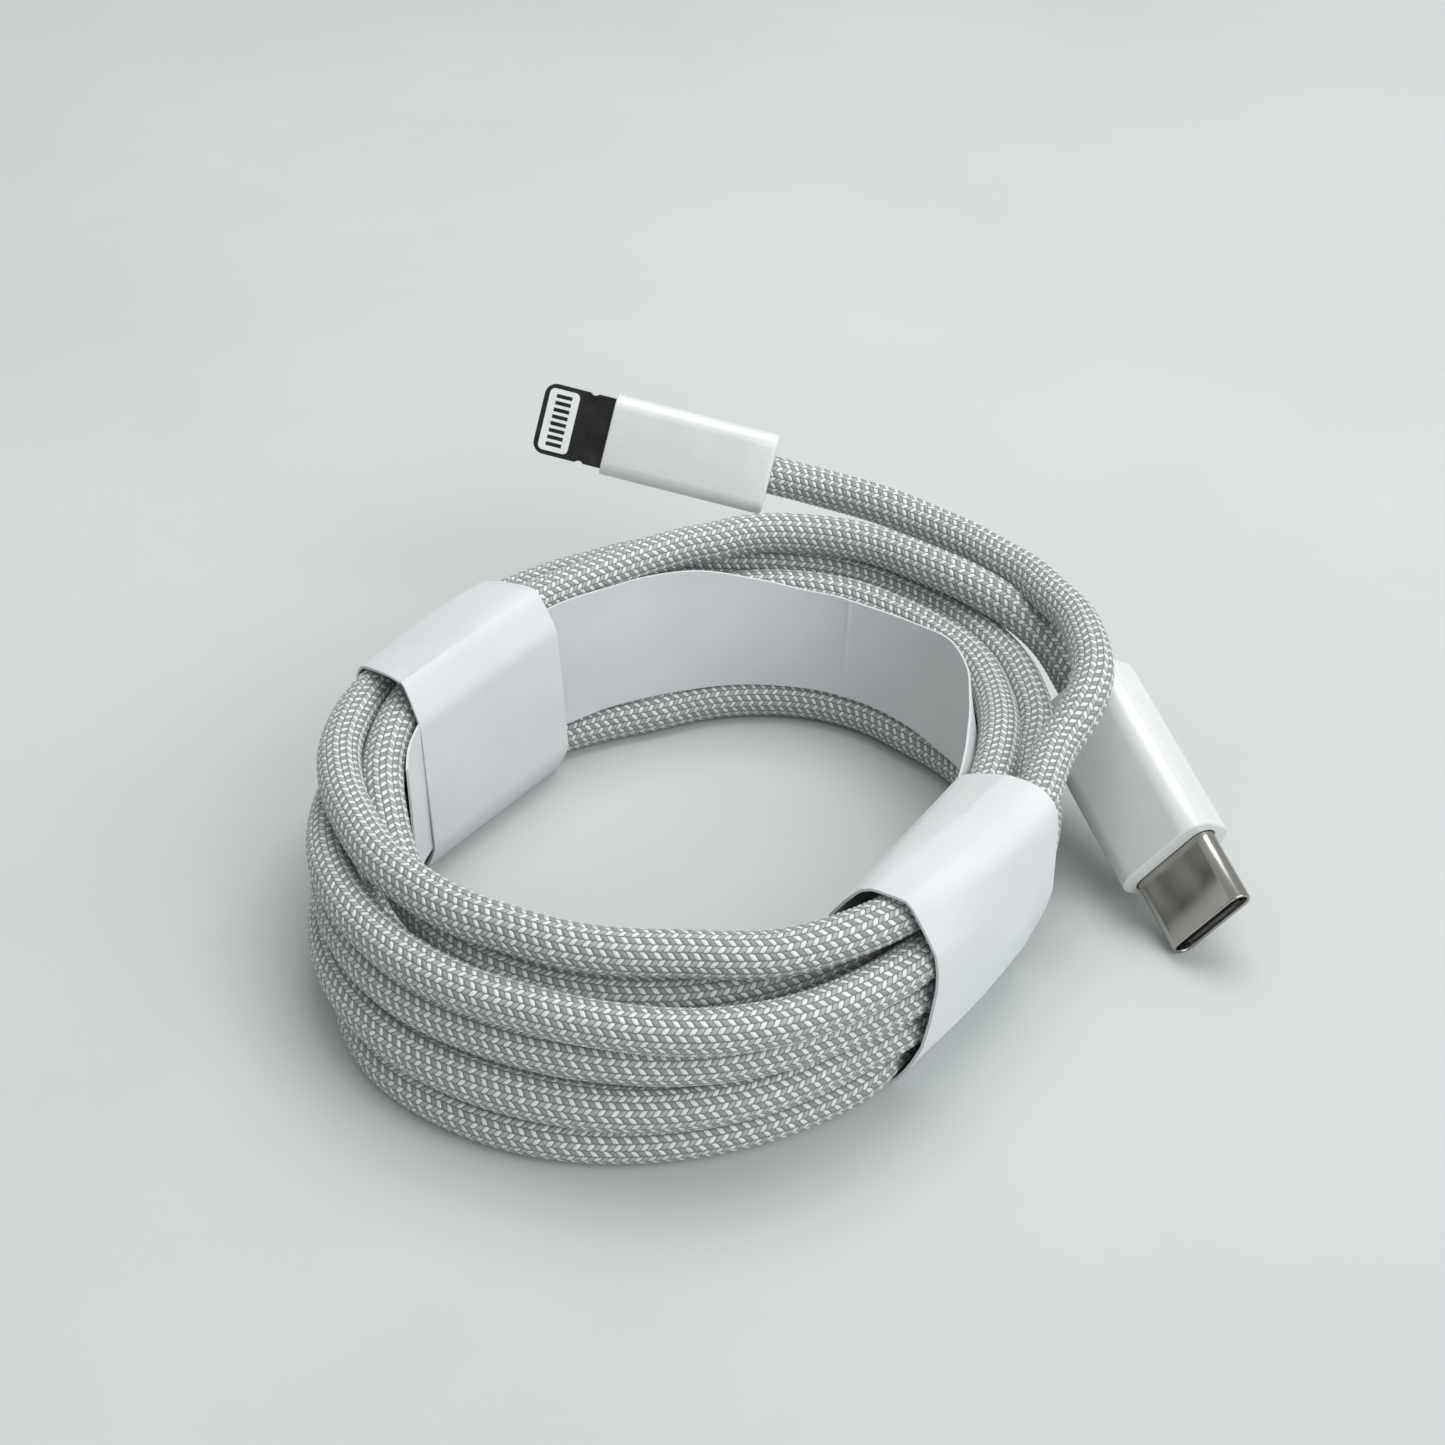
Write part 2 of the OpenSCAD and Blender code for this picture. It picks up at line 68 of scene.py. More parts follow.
# The winding: degrees round the coil, how far outside the ellipse, height.
WINDING = [
    (112, 0.0, 16.5), (126, -1.0, 16.4), (142, -1.8, 15.9), (160, -2.5, 15.1), (180, -3.9, 14.3),
    (195, -5.2, 13.2), (205, -5.6, 12.6), (215, -5.6, 12.3), (234, -5.1, 12.1), (250, -4.7, 12.0),
    (266, -4.3, 12.0), (280, -4.1, 12.1), (301, -4.2, 12.4), (322, -4.6, 13.4), (340, -4.6, 14.3),
    (355, -4.2, 14.6), (367, -3.6, 14.4), (379, -2.5, 13.6), (387, -1.4, 13.0), (397, 0.1, 12.7),
    (407, 1.1, 12.5), (415, 1.8, 12.4), (426, 2.8, 12.3), (438, 3.1, 12.0), (450, 2.4, 11.2),
    (462, 1.2, 10.3), (475, -0.1, 9.6), (490, -1.5, 8.7), (505, -2.7, 7.2), (520, -3.4, 5.0),
    (535, -3.7, 2.9), (548, -3.0, 2.0), (560, -1.7, 1.8), (572, -0.4, 1.8), (584, 0.3, 1.8),
    (607, 0.4, 1.8), (628, 0.0, 1.8), (650, -0.7, 1.8), (660, -1.2, 1.8), (668, -2.2, 1.8),
    (676, -2.8, 1.8), (684, -3.1, 1.8), (692, -2.9, 1.8), (700, -2.7, 1.8), (709, -2.2, 1.8),
    (719, -1.4, 1.8), (727, -0.9, 1.8), (735, -0.6, 1.8), (767, -0.6, 1.8), (779, 0.2, 1.8),
    (789, 0.5, 1.8), (798, 0.2, 1.8), (808, -0.5, 1.8), (820, -1.5, 1.8), (845, -1.2, 1.9),
    (870, -0.3, 2.6), (900, 0.0, 4.4), (930, 0.3, 5.4), (960, 0.2, 5.4), (985, 0.6, 5.4),
    (1000, 0.4, 5.4), (1016, -0.6, 5.4), (1040, -0.8, 5.4), (1052, -1.2, 5.4), (1061, -1.4, 5.4),
    (1070, -1.1, 5.4), (1077, -0.6, 5.4), (1085, 0.1, 5.4), (1100, 1.4, 5.4), (1125, 2.4, 5.3),
    (1155, 3.0, 5.1), (1185, 2.6, 5.2), (1210, 1.8, 5.6), (1230, 0.8, 6.3), (1260, -0.1, 8.0),
    (1290, -0.7, 9.0), (1305, -1.0, 9.0), (1320, -1.3, 9.0), (1330, -1.2, 9.0), (1338, -0.9, 9.0),
    (1346, -0.5, 9.0), (1360, -0.1, 9.0), (1420, -0.2, 9.0), (1446, 0.3, 8.8), (1458, 1.2, 8.8),
    (1480, 2.8, 8.8), (1500, 3.6, 8.6), (1515, 4.3, 8.4), (1530, 4.7, 8.3), (1545, 4.2, 8.8),
    (1557, 3.5, 9.3), (1572, 2.1, 9.9), (1590, 0.9, 10.4), (1620, 0.0, 11.7), (1640, -0.5, 12.4),
    (1652, -0.9, 12.6), (1662, -1.2, 12.6), (1674, -1.4, 12.6), (1684, -1.4, 12.6), (1691, -1.1, 12.6),
    (1698, -0.6, 12.6), (1706, 0.1, 12.6), (1716, 0.8, 12.6), (1727, 1.1, 12.6), (1738, 0.8, 12.6),
    (1752, 0.2, 12.6), (1770, -0.4, 12.6), (1780, -0.7, 12.7), (1790, -1.2, 12.6), (1800, -1.3, 12.3),
    (1809, -0.7, 12.1), (1818, 0.9, 12.2), (1827, 2.1, 12.3), (1835, 3.3, 12.3), (1843, 4.1, 12.5),
    (1852, 5.1, 12.5), (1859, 5.8, 12.6), (1865, 6.4, 12.7), (1871, 6.7, 12.8), (1883, 6.8, 12.8),
    (1890, 6.6, 13.2), (1898, 5.8, 14.2), (1907, 4.2, 14.8), (1914, 3.5, 15.1), (1926, 2.7, 15.2),
    (1940, 2.0, 15.1), (1957, 1.4, 15.0), (1975, 0.1, 15.3), (1987, -1.4, 15.5), (2000, -3.0, 15.7),
    (2010, -3.8, 15.8), (2020, -4.6, 15.9), (2030, -5.0, 16.0), (2040, -5.2, 16.2), (2050, -4.9, 16.2),
    (2060, -4.6, 16.2), (2069, -4.2, 16.2), (2078, -3.3, 16.1), (2087, -2.5, 15.9), (2096, -2.1, 15.9),
    (2110, -1.7, 15.9), (2125, -1.2, 16.0), (2140, -0.3, 16.1), (2151, 0.3, 16.1)]

# The cable's way from the coil up behind it to the tab plug.
TAIL = [
    (29.9, 0.4, 16.4), (31.9, 3.6, 17.3), (33.8, 8.6, 18.2), (33.9, 13.5, 18.4), (33.3, 17.8, 18.2),
    (31.9, 21.5, 17.9), (30.4, 25.2, 17.6), (28.1, 28.5, 17.4), (26.0, 31.2, 17.3), (23.6, 33.4, 17.4),
    (21.4, 35.2, 17.5), (19.1, 36.6, 17.8), (16.9, 38.0, 17.9), (14.9, 39.2, 17.9), (12.6, 40.4, 17.95)]

OVAL_CABLE_AT = (21.8, 24.85, 27.4)
TAB_CABLE_AT = (25.2, 22.4, 19.2)


def turn_radius(degrees):
    """The coil's ellipse: distance from the centre in that direction."""
    t = np.radians(np.asarray(degrees, float) - COIL_AXIS)
    return COIL_LONG * COIL_SHORT / np.sqrt((COIL_SHORT * np.cos(t)) ** 2 + (COIL_LONG * np.sin(t)) ** 2)


def monotone(x, y, at):
    """A smooth curve through (x, y) that never swings past its points."""
    x, y, at = (np.asarray(v, float) for v in (x, y, at))
    h = np.diff(x)
    d = np.diff(y) / h
    slope = np.r_[d[0], np.zeros(len(x) - 2), d[-1]]
    for i in range(1, len(x) - 1):
        if d[i - 1] * d[i] > 0:
            wa, wb = 2 * h[i] + h[i - 1], h[i] + 2 * h[i - 1]
            slope[i] = (wa + wb) / (wa / d[i - 1] + wb / d[i])
    k = np.clip(np.searchsorted(x, at, side="right") - 1, 0, len(h) - 1)
    s = np.clip((at - x[k]) / h[k], 0, 1)
    rise = y[k] * (1 + 2 * s) * (1 - s) ** 2 + y[k + 1] * s * s * (3 - 2 * s)
    return rise + h[k] * (slope[k] * s * (1 - s) ** 2 + slope[k + 1] * s * s * (s - 1))


def spline(points, count):
    """A natural cubic spline through the points, sampled count times."""
    p = np.asarray(points, float)
    s = np.r_[0, np.cumsum(np.sqrt(np.linalg.norm(np.diff(p, axis=0), axis=1)))]
    h, n = np.diff(s), len(p)
    a, b = np.eye(n), np.zeros((n, 3))
    for i in range(1, n - 1):
        a[i, i - 1:i + 2] = h[i - 1], 2 * (h[i - 1] + h[i]), h[i]
        b[i] = 6 * ((p[i + 1] - p[i]) / h[i] - (p[i] - p[i - 1]) / h[i - 1])
    m = np.linalg.solve(a, b)
    at = np.linspace(0, s[-1], count)
    k = np.clip(np.searchsorted(s, at, side="right") - 1, 0, n - 2)
    u, v, w = (s[k + 1] - at)[:, None], (at - s[k])[:, None], h[k][:, None]
    bend = (m[k] * u ** 3 + m[k + 1] * v ** 3) / (6 * w)
    return bend + (p[k] / w - m[k] * w / 6) * u + (p[k + 1] / w - m[k + 1] * w / 6) * v


def evenly(curve, step):
    """The curve's points again, step millimetres apart, and its length."""
    run = np.r_[0, np.cumsum(np.linalg.norm(np.diff(curve, axis=0), axis=1))]
    at = np.linspace(0, run[-1], int(run[-1] / step) + 1)
    return np.stack([np.interp(at, run, curve[:, i]) for i in range(3)], 1), run[-1]


def plug_axes(heading, climb, roll):
    """A plug's own axes as columns: along it from tip to cable, across it, through it."""
    h, c, r = (math.radians(v) for v in (heading, -climb, roll))
    turn = np.array([[math.cos(h), -math.sin(h), 0], [math.sin(h), math.cos(h), 0], [0, 0, 1]])
    tilt = np.array([[math.cos(c), 0, math.sin(c)], [0, 1, 0], [-math.sin(c), 0, math.cos(c)]])
    spin = np.array([[1, 0, 0], [0, math.cos(r), -math.sin(r)], [0, math.sin(r), math.cos(r)]])
    return turn @ tilt @ spin


TAB_AXES = plug_axes(TAB_HEADING, TAB_CLIMB, TAB_ROLL)
OVAL_AXES = plug_axes(OVAL_HEADING, OVAL_CLIMB, OVAL_ROLL)


def in_row(points):
    """From the coil's axes in millimetres to the row frame in metres."""
    return (np.asarray(points, float) + COIL_CENTRE) * MM


def tab_place(points):
    return in_row(np.asarray(points, float) @ TAB_AXES.T + np.array(TAB_TIP))


def oval_place(points):
    return in_row(np.asarray(points, float) @ OVAL_AXES.T + np.array(OVAL_TIP))


winding = np.array(WINDING, float)
turned = np.arange(winding[0, 0], winding[-1, 0] + 0.01, TURN_STEP)
reach = turn_radius(turned) + monotone(winding[:, 0], winding[:, 1], turned)
coil_line = np.stack([
    reach * np.cos(np.radians(turned)),
    reach * np.sin(np.radians(turned)),
    monotone(winding[:, 0], winding[:, 2], turned)], 1)
oval_end = [OVAL_AXES[:, 0] * x + np.array(OVAL_TIP) for x in OVAL_CABLE_AT]
tab_end = [TAB_AXES[:, 0] * x + np.array(TAB_TIP) for x in TAB_CABLE_AT]
stops = oval_end + [np.array(p) for p in LEAD] + list(coil_line) + [np.array(p) for p in TAIL] + tab_end
route = spline(stops, ROUTE_SAMPLES)

scene = bpy.context.scene
scene.view_settings.view_transform = "Standard"

camera = bpy.data.objects.new("camera", bpy.data.cameras.new("camera"))
camera.data.lens = LENS
camera.data.sensor_width = SENSOR_WIDTH
camera.data.clip_start, camera.data.clip_end = CAMERA_SEES
camera.location = np.array(CAMERA_AT) * MM
camera.rotation_euler = (math.radians(CAMERA_TILT), 0, 0)
scene.collection.objects.link(camera)
scene.camera = camera


# ------------------------------------------------------------------ mesh making
def mesh_piece(name, points, faces, sharp_angle=35.0):
    """A piece from points in the row frame and faces, smooth except at folds sharper than the angle."""
    mesh = bpy.data.meshes.new(name)
    mesh.from_pydata(np.asarray(points).tolist(), [], faces.tolist() if hasattr(faces, "tolist") else faces)
    mesh.update()
    mesh.polygons.foreach_set("use_smooth", [True] * len(mesh.polygons))
    mesh.set_sharp_from_angle(angle=math.radians(sharp_angle))
    made = bpy.data.objects.new(name, mesh)
    scene.collection.objects.link(made)
    return made


def ring_faces(rings, around, closed):
    """The quads between one ring of points and the next; closed joins the last ring to the first."""
    count = rings if closed else rings - 1
    i, j = np.meshgrid(np.arange(count), np.arange(around), indexing="ij")
    i, j = i.ravel(), j.ravel()
    k, l = (i + 1) % rings, (j + 1) % around
    return np.stack([i * around + j, k * around + j, k * around + l, i * around + l], 1)


def rounded(width, height, radius, around=64):
    """A rectangle with round corners, centred, as points around."""
    radius = min(radius, width / 2, height / 2)
    a = np.radians((np.arange(around) + 0.5) * 360 / around)
    cx = np.sign(np.cos(a)) * (width / 2 - radius)
    cy = np.sign(np.sin(a)) * (height / 2 - radius)
    return np.stack([cx + radius * np.cos(a), cy + radius * np.sin(a)], 1)


def lofted(name, place, rings, around=64, sharp_angle=35.0):
    """A closed skin through rings, each (x, width, height, corner radius), that meets itself at the end."""
    points = []
    for x, width, height, radius in rings:
        flat = rounded(width, height, radius, around)
        points.append(np.c_[np.full(around, x), flat])
    return mesh_piece(name, place(np.concatenate(points)), ring_faces(len(rings), around, True), sharp_angle)


# ------------------------------------------------------------------ materials
RANGE_SOCKETS = ("From Min", "From Max", "To Min", "To Max")


class Nodes:
    """Short names for the shader nodes that the materials here use."""

    def __init__(self, name):
        self.material = bpy.data.materials.new(name)
        self.material.use_nodes = True
        self.tree = self.material.node_tree
        self.shader = self.tree.nodes["Principled BSDF"]

    def put(self, kind, **values):
        node = self.tree.nodes.new(kind)
        for key, value in values.items():
            setattr(node, key, value)
        return node

    def feed(self, socket, value):
        if isinstance(value, bpy.types.NodeSocket):
            self.tree.links.new(value, socket)
        else:
            socket.default_value = value

    def math(self, operation, a, b=0.0):
        node = self.put("ShaderNodeMath", operation=operation)
        self.feed(node.inputs[0], a)
        self.feed(node.inputs[1], b)
        return node.outputs[0]

    def ramp(self, value, low, high, out_low=0.0, out_high=1.0):
        node = self.put("ShaderNodeMapRange", interpolation_type="SMOOTHSTEP")
        self.feed(node.inputs["Value"], value)
        for key, limit in zip(RANGE_SOCKETS, (low, high, out_low, out_high)):
            self.feed(node.inputs[key], limit)
        return node.outputs[0]

    def mix(self, factor, a, b):
        node = self.put("ShaderNodeMix", data_type="RGBA")
        self.feed(node.inputs[0], factor)
        self.feed(node.inputs[6], a)
        self.feed(node.inputs[7], b)
        return node.outputs[2]

    def noise(self, scale, detail=3.0, stretch=(1.0, 1.0, 1.0), rough=0.55):
        place = self.put("ShaderNodeTexCoord")
        sized = self.put("ShaderNodeMapping")
        self.feed(sized.inputs["Vector"], place.outputs["Object"])
        sized.inputs["Scale"].default_value = stretch
        node = self.put("ShaderNodeTexNoise")
        self.feed(node.inputs["Vector"], sized.outputs[0])
        node.inputs["Scale"].default_value = scale
        node.inputs["Detail"].default_value = detail
        node.inputs["Roughness"].default_value = rough
        return node.outputs["Fac"]

    def bump(self, height, strength, distance):
        node = self.put("ShaderNodeBump")
        node.inputs["Strength"].default_value = strength
        node.inputs["Distance"].default_value = distance
        self.feed(node.inputs["Height"], height)
        self.feed(self.shader.inputs["Normal"], node.outputs[0])

    def constant(self, **values):
        for key, value in values.items():
            self.shader.inputs[key.replace("_", " ")].default_value = value


def grey(value, tint=(1.0, 1.0, 1.0)):
    return (value * tint[0], value * tint[1], value * tint[2], 1.0)


def surface(name, dark, light, mottle, rough, grain, relief, stretch=(1.0, 1.0, 1.0), worn=None, rim=None,
            **fixed):
    """A material with a mottled colour, a roughness that varies with it, and a fine relief.
    rough is (lowest, highest); the edge colour is what its sharp convex edges take, a painted highlight on the
    white boots and on the steel shell; rim is (axis, colour) for the sides of a flat piece that lies across that
    axis, a painted highlight on them."""
    n = Nodes(name)
    patch = n.noise(mottle, 4.0)
    fine = n.noise(grain, 3.0, stretch)
    colour = n.mix(n.ramp(patch, 0.3, 0.7), dark, light)
    # Sharp convex edges take the edge colour, lighter than the faces: a painted highlight on the white boots and on
    # the steel shell's rim.
    if worn:
        edge = n.put("ShaderNodeNewGeometry").outputs["Pointiness"]
        colour = n.mix(n.ramp(edge, 0.52, 0.62), colour, worn)
    # The sides of a flat piece take the rim colour: a painted highlight in place of their reflection of the bright
    # sky.
    if rim:
        across = n.put("ShaderNodeVectorMath", operation="DOT_PRODUCT")
        n.feed(across.inputs[0], n.put("ShaderNodeNewGeometry").outputs["Normal"])
        across.inputs[1].default_value = rim[0]
        colour = n.mix(n.ramp(n.math("ABSOLUTE", across.outputs["Value"]), 0.35, 0.75), rim[1], colour)
    n.feed(n.shader.inputs["Base Color"], colour)
    both = n.math("ADD", n.math("MULTIPLY", patch, 0.5), n.math("MULTIPLY", fine, 0.5))
    n.feed(n.shader.inputs["Roughness"], n.ramp(both, 0.3, 0.7, rough[0], rough[1]))
    n.bump(fine, relief[0], relief[1])
    n.constant(**fixed)
    return n.material


def braid_material():
    """Yarn plaited in columns that lean in turn to each side, with white and grey floats in turn."""
    n = Nodes("braid")
    split = n.put("ShaderNodeSeparateXYZ")
    n.feed(split.inputs[0], n.put("ShaderNodeUVMap", uv_map="braid").outputs[0])
    around, along = split.outputs[0], split.outputs[1]
    shifted = n.math("ADD", around, 0.5)
    column = n.math("FLOOR", shifted)
    odd = n.math("PINGPONG", column, 1.0)
    third = n.math("GREATER_THAN", n.math("FRACT", n.math("MULTIPLY", column, 0.25)), 0.4)
    lean = n.math("MULTIPLY", n.math("SUBTRACT", n.math("PINGPONG", shifted, 1.0), 0.5), 2 * YARN_LEAN)
    run = n.math("ADD", n.math("SUBTRACT", along, lean), n.math("MULTIPLY", odd, FLOAT_PITCH / 2))
    across = n.math("MULTIPLY", n.math("PINGPONG", shifted, 0.5), 2.0)
    length = n.math("MULTIPLY", n.math("PINGPONG", run, FLOAT_PITCH / 2), 2 / FLOAT_PITCH)
    dome_a = n.math("SUBTRACT", 1.0, n.math("POWER", n.math("SUBTRACT", 1.0, across), 2.0))
    dome_b = n.math("SUBTRACT", 1.0, n.math("POWER", n.math("SUBTRACT", 1.0, length), 2.0))
    dome = n.math("MULTIPLY", dome_a, dome_b)
    order = n.math("ADD", n.math("ADD", run, FLOAT_PITCH / 2), n.math("MULTIPLY", third, FLOAT_PITCH))
    change = n.math("PINGPONG", order, FLOAT_PITCH)
    dark = n.ramp(change, 0.42 * FLOAT_PITCH, 0.50 * FLOAT_PITCH, 1.0, 0.0)
    strands = n.put("ShaderNodeCombineXYZ")
    n.feed(strands.inputs[0], n.math("MULTIPLY", around, FIBRES_ACROSS))
    n.feed(strands.inputs[1], n.math("MULTIPLY", run, FIBRES_ALONG))
    fibre = n.put("ShaderNodeTexNoise")
    n.feed(fibre.inputs["Vector"], strands.outputs[0])
    fibre.inputs["Scale"].default_value = 1.0
    fibre.inputs["Detail"].default_value = 2.0
    uneven = n.ramp(n.noise(700.0, 2.0), 0.3, 0.7, 0.0, 0.35)
    white_yarn = n.mix(n.ramp(fibre.outputs[0], 0.3, 0.7), grey(WHITE_YARN[0], WARM), grey(WHITE_YARN[1], WARM))
    grey_yarn = n.mix(n.ramp(fibre.outputs[0], 0.3, 0.7), grey(GREY_YARN[0], COOL), grey(GREY_YARN[1], COOL))
    mixed_yarn = n.mix(odd, grey(PALE_YARN, COOL), grey_yarn)
    yarn = n.mix(dark, n.mix(uneven, white_yarn, grey(DULL_YARN, COOL)), mixed_yarn)
    # Each float darkens towards its edges to the crevice grey: painted shade between the floats.
    n.feed(n.shader.inputs["Base Color"], n.mix(n.ramp(dome, 0.02, 0.5), grey(PAINTED_CREVICE_SHADE, COOL), yarn))
    n.feed(n.shader.inputs["Roughness"], n.ramp(fibre.outputs[0], 0.3, 0.7, 0.42, 0.6))
    height = n.math("ADD", dome, n.math("MULTIPLY", fibre.outputs[0], 0.18))
    n.bump(height, 0.8, 0.0001)
    n.constant(Sheen_Weight=0.3, Sheen_Roughness=0.4, Specular_IOR_Level=0.45)
    return n.material


# Tints of the whites and greys.
COOL = (0.935, 1.0, 0.955)
WARM = (1.0, 0.995, 0.96)
SATIN = (1.0, 0.98, 0.92)
BRIGHT = (0.985, 1.0, 0.99)
PAPERY = (0.965, 0.99, 1.0)
FLOOR_TINT = (0.965, 1.0, 0.985)
STEEL = (1.0, 0.965, 0.90)
STEEL_HIGHLIGHT = (1.0, 0.99, 0.95)
MILKY = (1.0, 0.99, 0.96)

# The braid: its columns, the length of a float and how it stands, its fibres, the yarns' greys, and the painted
# shade between the floats.
COLUMNS = 20
FLOAT_PITCH = 0.48
RING_STEP = FLOAT_PITCH / 2
FLOAT_RISE = 0.035
YARN_LEAN = 0.17
FIBRES_ACROSS, FIBRES_ALONG = 22.0, 6.0
BRAID_FOLD = 60.0
WHITE_YARN, GREY_YARN = (0.70, 0.92), (0.24, 0.36)
PALE_YARN, DULL_YARN, PAINTED_CREVICE_SHADE = 0.42, 0.50, 0.17

# Each finish: two colours, the scale of their mottle, roughness, the scale of the grain and its relief.
SURFACES = {
    "paper": (grey(0.64, PAPERY), grey(0.69, PAPERY), 90.0, (0.72, 0.86), 2600.0, (0.35, 0.00004)),
    "boot_white": (grey(0.68, BRIGHT), grey(0.72, BRIGHT), 160.0, (0.20, 0.30), 5200.0, (0.06, 0.00002)),
    "white_plastic": (grey(0.76), grey(0.82), 400.0, (0.30, 0.42), 6000.0, (0.08, 0.00002)),
    "mould_white": (grey(0.62, MILKY), grey(0.70), 500.0, (0.45, 0.6), 3500.0, (0.2, 0.00004)),
    "plug_black": (grey(0.018), grey(0.032), 600.0, (0.35, 0.5), 5200.0, (0.12, 0.00003)),
    "chip_black": (grey(0.02), grey(0.035), 1500.0, (0.5, 0.65), 9000.0, (0.25, 0.00003)),
    "board_green": ((0.012, 0.10, 0.045, 1), (0.02, 0.15, 0.07, 1), 900.0, (0.25, 0.4), 4200.0, (0.15, 0.00003)),
    "wire_red": ((0.32, 0.02, 0.016, 1), (0.45, 0.035, 0.028, 1), 700.0, (0.35, 0.5), 3800.0, (0.12, 0.00003)),
    "tab_metal": (grey(0.050, SATIN), grey(0.070, SATIN), 350.0, (0.22, 0.34), 5200.0, (0.05, 0.00001)),
    # The tab's contacts are coloured near-black, a painted dark reflection; the real pads are gold.
    "tab_contact_dark_reflection": (grey(0.020), grey(0.032), 800.0, (0.3, 0.4), 7000.0, (0.06, 0.00001)),
    "plug_steel": (grey(0.38, STEEL), grey(0.45, STEEL), 320.0, (0.14, 0.24), 4600.0, (0.05, 0.00001)),
    "spring_steel": (grey(0.42), grey(0.52), 500.0, (0.2, 0.32), 6500.0, (0.08, 0.00001)),
    "contact_gold": ((0.62, 0.45, 0.20, 1), (0.75, 0.56, 0.27, 1), 800.0, (0.14, 0.26), 7000.0, (0.06, 0.00001)),
    "floor": (grey(0.57, FLOOR_TINT), grey(0.60, FLOOR_TINT), 14.0, (0.75, 0.85), 900.0, (0.03, 0.00003)),
}

# What else some of them have: stretched grain, lighter sharp edges (a painted highlight on the boots and the
# shell), a painted highlight on the tab's sides, and the shader's own settings.
EXTRAS = {
    "paper": dict(Sheen_Weight=0.12, Sheen_Roughness=0.6, Specular_IOR_Level=0.25, Subsurface_Weight=0.06,
                  Subsurface_Radius=(0.0006, 0.0006, 0.0007)),
    # The boots' lighter edges are a painted highlight.
    "boot_white": dict(worn=grey(0.82), Coat_Weight=0.25, Coat_Roughness=0.12, Specular_IOR_Level=0.5,
                       Subsurface_Weight=0.05, Subsurface_Radius=(0.0008, 0.0008, 0.0008)),
    "plug_black": dict(worn=grey(0.06)),
    "board_green": dict(stretch=(1.0, 6.0, 1.0), Coat_Weight=0.3, Coat_Roughness=0.2),
    # The tab's thin sides are lighter: a painted highlight in place of their reflection of the bright sky.
    "tab_metal": dict(stretch=(1.0, 9.0, 9.0), rim=(TAB_AXES[:, 2], grey(0.62, SATIN)), Metallic=1.0),
    "tab_contact_dark_reflection": dict(Metallic=0.6),
    # The shell's lighter edges and rolled rim are a painted highlight.
    "plug_steel": dict(stretch=(9.0, 1.0, 9.0), worn=grey(0.80, STEEL_HIGHLIGHT), Metallic=1.0),
    "spring_steel": dict(stretch=(1.0, 8.0, 1.0), Metallic=1.0),
    "contact_gold": dict(Metallic=1.0),
    "floor": dict(Specular_IOR_Level=0.15),
}

finishes = {"braid": braid_material()}
for name, facts in SURFACES.items():
    finishes[name] = surface(name, *facts, **EXTRAS.get(name, {}))


def finish_piece(piece, slot):
    """Gives a new piece its material, and puts it on the cable's body."""
    piece.data.materials.append(finishes[slot])
    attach(piece, "cable")
    return piece


# ------------------------------------------------------------------ the braided cable
def braid_tube(name, line):
    """A tube of braid along the line: a bump for each float, laid like bricks, and its own braid map."""
    along = np.gradient(line, axis=0)
    along /= np.linalg.norm(along, axis=1)[:, None]
    side = np.cross(along[0], (0, 0, 1))
    side /= np.linalg.norm(side)
    sides = [side]
    for i in range(1, len(line)):
        side = side - along[i] * side.dot(along[i])
        side /= np.linalg.norm(side)
        sides.append(side)
    sides = np.array(sides)
    ups = np.cross(sides, along)
    turn = np.arange(COLUMNS) * 2 * math.pi / COLUMNS
    brick = (np.arange(len(line))[:, None] + np.arange(COLUMNS)[None]) % 2
    radius = CABLE_R + FLOAT_RISE * (2 * brick - 1)
    points = line[:, None] + radius[:, :, None] * (
        np.cos(turn)[None, :, None] * sides[:, None] + np.sin(turn)[None, :, None] * ups[:, None])
    faces = ring_faces(len(line), COLUMNS, False)
    quads = faces.tolist()
    quads.append(list(range(COLUMNS)))
    quads.append([(len(line) - 1) * COLUMNS + k for k in reversed(range(COLUMNS))])
    tube = mesh_piece(name, in_row(points.reshape(-1, 3)), quads, BRAID_FOLD)
    braid = tube.data.uv_layers.new(name="braid")
    i, j = faces[:, 0] // COLUMNS, faces[:, 0] % COLUMNS
    u = np.stack([j, j, j + 1, j + 1], 1)
    v = np.stack([i, i + 1, i + 1, i], 1) * RING_STEP
    loops = np.zeros((len(tube.data.loops), 2), np.float32)
    loops[:len(faces) * 4, 0] = u.ravel()
    loops[:len(faces) * 4, 1] = v.ravel()
    braid.data.foreach_set("uv", loops.ravel())
    return tube


line, cable_length = evenly(route, RING_STEP)
cable = finish_piece(braid_tube("braided_cable", line), "braid")
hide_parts("cable_coil", "cable_tail_tab", "cable_tail_oval")


# ------------------------------------------------------------------ the paper carrier
SLEEVE_HEADING = 54.5
SLEEVE_HALF = 9.2
PAPER_THICK = 0.24
PAPER_GAP = 0.12
PAPER_FLOOR = 0.13
HULL_DIRECTIONS = 96
SLEEVE_STATIONS = 13
STATION_REACH = 1.5
BUNDLE_HALF = 9.5
OUTER_HUG = 0.7
PAPER_FOLD = 28.0


def hull_ring(push):
    """The corners where neighbouring tangent lines meet, around a bundle with that push in each direction."""
    step = 2 * math.pi / HULL_DIRECTIONS
    a = np.arange(HULL_DIRECTIONS) * step
    b, other = a + step, np.roll(push, -1)
    x = (push * np.sin(b) - other * np.sin(a)) / math.sin(step)
    y = (other * np.cos(a) - push * np.cos(b)) / math.sin(step)
    return np.stack([x, y], 1)


def ease(x):
    x = np.clip(x, 0, 1)
    return x * x * (3 - 2 * x)


